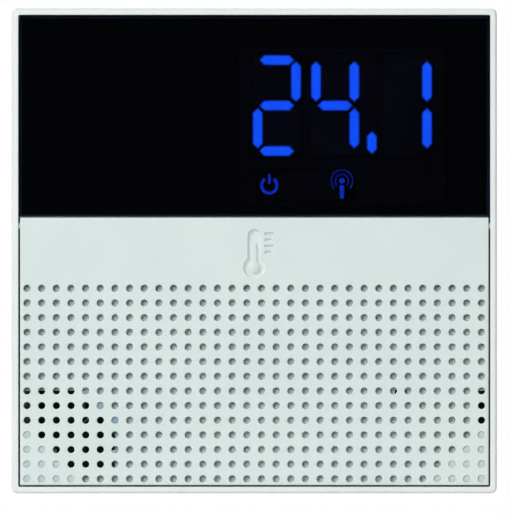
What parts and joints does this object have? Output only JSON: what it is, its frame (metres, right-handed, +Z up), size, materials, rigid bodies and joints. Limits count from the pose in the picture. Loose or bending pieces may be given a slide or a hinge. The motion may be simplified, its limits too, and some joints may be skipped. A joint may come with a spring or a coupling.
{
  "type": "wall thermostat",
  "caption": "Square wall thermostat with a dark number display above a perforated cover that turns up on its top edge, and a wall base with a cable window.",
  "frame": {"origin": "middle of the back face, which rests on the wall", "axes": "+Y into the wall, +Z up, the display faces -Y"},
  "size_m": [0.086, 0.027, 0.086],
  "materials": {
    "frame_white": "fine moulded satin",
    "cover_white": "fine moulded matt",
    "inner_white": "moulded",
    "base_white": "moulded",
    "smoked_acrylic": "polished",
    "black_moulding": "moulded",
    "lit_diffuser": "lit from behind",
    "black_board": "solder mask",
    "green_board": "solder mask",
    "light_blue_button": "moulded",
    "zinc_steel": "zinc plated",
    "copper_wire": null,
    "epoxy": "cast",
    "terminal_green": "moulded nylon",
    "film_yellow": "moulded",
    "relay_blue": "moulded",
    "varistor_blue": "dipped",
    "fuse_grey": "moulded",
    "capacitor_sleeve": "shrunk sleeve"
  },
  "bodies": {
    "housing": {"front_frame": "frame_white", "display_lens": "smoked_acrylic", "display_mask": "black_moulding", "display_housing": "black_moulding", "figure_tens": "lit_diffuser", "figure_units": "lit_diffuser", "figure_tenths": "lit_diffuser", "lamp_strip": "lit_diffuser", "chassis": "inner_white", "display_board": "black_board", "tact_switch": "black_moulding", "touch_spring": "zinc_steel", "temperature_sensor": "epoxy", "radio_module": "zinc_steel", "antenna": "copper_wire", "buzzer": "black_moulding", "microcontroller": "epoxy", "header_plug": "black_moulding", "header_socket": "black_moulding", "wall_base": "base_white", "mains_board": "green_board", "supply_module": "black_moulding", "relay": "relay_blue", "film_capacitor": "film_yellow", "fuse": "fuse_grey", "varistor": "varistor_blue", "electrolytic_capacitor": "capacitor_sleeve", "terminal_block": "terminal_green", "clamp_screw_1": "zinc_steel", "board_screw_1": "zinc_steel", "corner_screw_1": "zinc_steel", "clamp_screw_2": "zinc_steel", "board_screw_2": "zinc_steel", "corner_screw_2": "zinc_steel", "clamp_screw_3": "zinc_steel", "board_screw_3": "zinc_steel", "corner_screw_3": "zinc_steel", "clamp_screw_4": "zinc_steel", "board_screw_4": "zinc_steel", "corner_screw_4": "zinc_steel", "display_screw_1": "zinc_steel", "display_screw_2": "zinc_steel"},
    "cover": {"grille_cover": "cover_white"},
    "button": {"pairing_button": "light_blue_button"},
    "tab": {"release_tab": "base_white"}
  },
  "joints": [
    {"name": "cover_hinge", "type": "hinge", "parent": "housing", "child": "cover", "pos_m": [0, -0.0259, 0.0044], "axis": [-1, 0, 0], "range_deg": [0, 100]},
    {"name": "button_press", "type": "slide", "parent": "housing", "child": "button", "axis": [0, 1, 0], "range_m": [0, 0.0005], "stiffness_N_per_m": 1200},
    {"name": "tab_flex", "type": "hinge", "parent": "housing", "child": "tab", "pos_m": [0, -0.0023, -0.0403], "axis": [-1, 0, 0], "range_deg": [0, 7], "stiffness_Nm_per_rad": 0.2}
  ]
}
